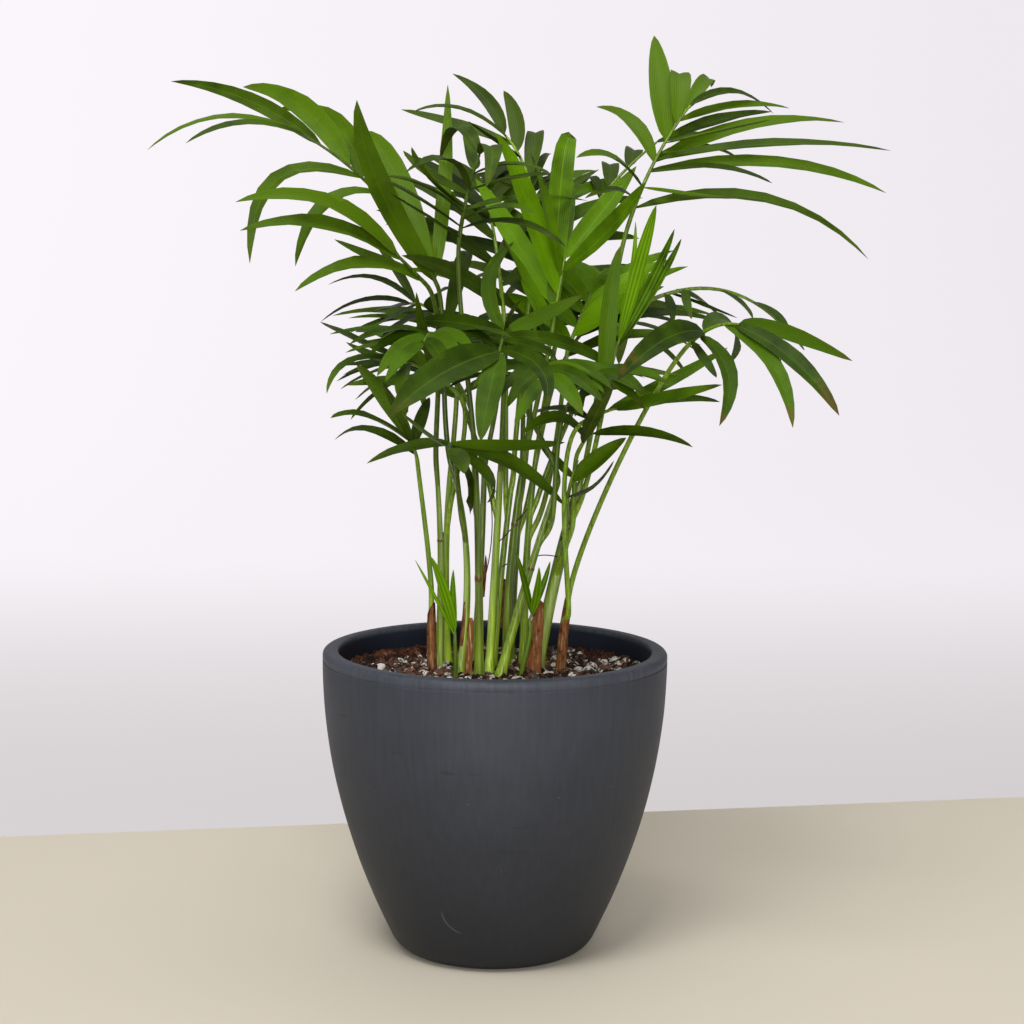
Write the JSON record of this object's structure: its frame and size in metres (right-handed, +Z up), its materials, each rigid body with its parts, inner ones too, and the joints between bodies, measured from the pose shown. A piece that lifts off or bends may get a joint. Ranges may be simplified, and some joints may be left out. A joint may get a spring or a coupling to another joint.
{
  "type": "potted parlour palm",
  "caption": "Bushy indoor parlour palm with slender green stems and arching feather fronds, in a round tapered charcoal pot filled with bark mix.",
  "frame": {"origin": "centre of the pot's flat underside", "axes": "+Z up, the pot's axis; the front of the plant looks towards -Y"},
  "size_m": [0.3705, 0.3475, 0.4785],
  "materials": {
    "pot_plastic": "matte charcoal with fine scuffs and pale specks",
    "potting_mix": "loose bark chips, coir and white perlite",
    "green_stem": "smooth green cane with leaf scars",
    "dry_sheath": "dry brown papery sheath",
    "leaf_stalk": "smooth green leaf stalk",
    "leaf_green": "satin green blade with fine lengthwise veins",
    "new_leaf": "satin fresh yellow-green blade"
  },
  "bodies": {
    "root": {"pot": "pot_plastic", "potting_mix": "potting_mix", "stem_far_left_sheath": "dry_sheath", "stem_left_back": "green_stem", "stem_left_mid": "green_stem", "stem_left_front": "green_stem", "stem_main": "green_stem", "stem_centre": "green_stem", "stem_leaning": "green_stem", "stem_centre_back": "green_stem", "stem_right_mid": "green_stem", "stem_right_back": "green_stem", "stem_thick_cane": "green_stem", "stem_far_right_sheath": "dry_sheath", "stem_back_left": "green_stem", "stem_back_right": "green_stem", "husk_brown": "dry_sheath", "husk_straw": "dry_sheath", "frond_upper_left": "leaf_green", "stalk_upper_left": "leaf_stalk", "frond_left": "leaf_green", "frond_left_shaded": "leaf_green", "frond_left_low": "leaf_green", "frond_small_left": "leaf_green", "frond_low_front": "leaf_green", "frond_front": "leaf_green", "frond_upright": "leaf_green", "frond_top_shaded": "leaf_green", "frond_centre_fan": "leaf_green", "frond_top_right": "leaf_green", "stalk_top_right": "leaf_stalk", "frond_right_shaded": "leaf_green", "frond_new_spear": "new_leaf", "frond_right_arching": "leaf_green", "stalk_right_arching": "leaf_stalk", "frond_right_front": "leaf_green", "stalk_right_front": "leaf_stalk", "frond_right_mid": "leaf_green", "frond_right_low": "leaf_green", "frond_at_cane_node": "leaf_green", "frond_back_left": "leaf_green", "frond_back": "leaf_green", "frond_back_right": "leaf_green", "frond_back_top": "leaf_green", "frond_core_front": "leaf_green", "frond_core_back_left": "leaf_green", "frond_core_right": "leaf_green", "frond_core_left": "leaf_green", "frond_core_top": "leaf_green", "frond_core_low_right": "leaf_green", "shoot_left": "new_leaf", "shoot_right": "new_leaf"}
  },
  "joints": []
}
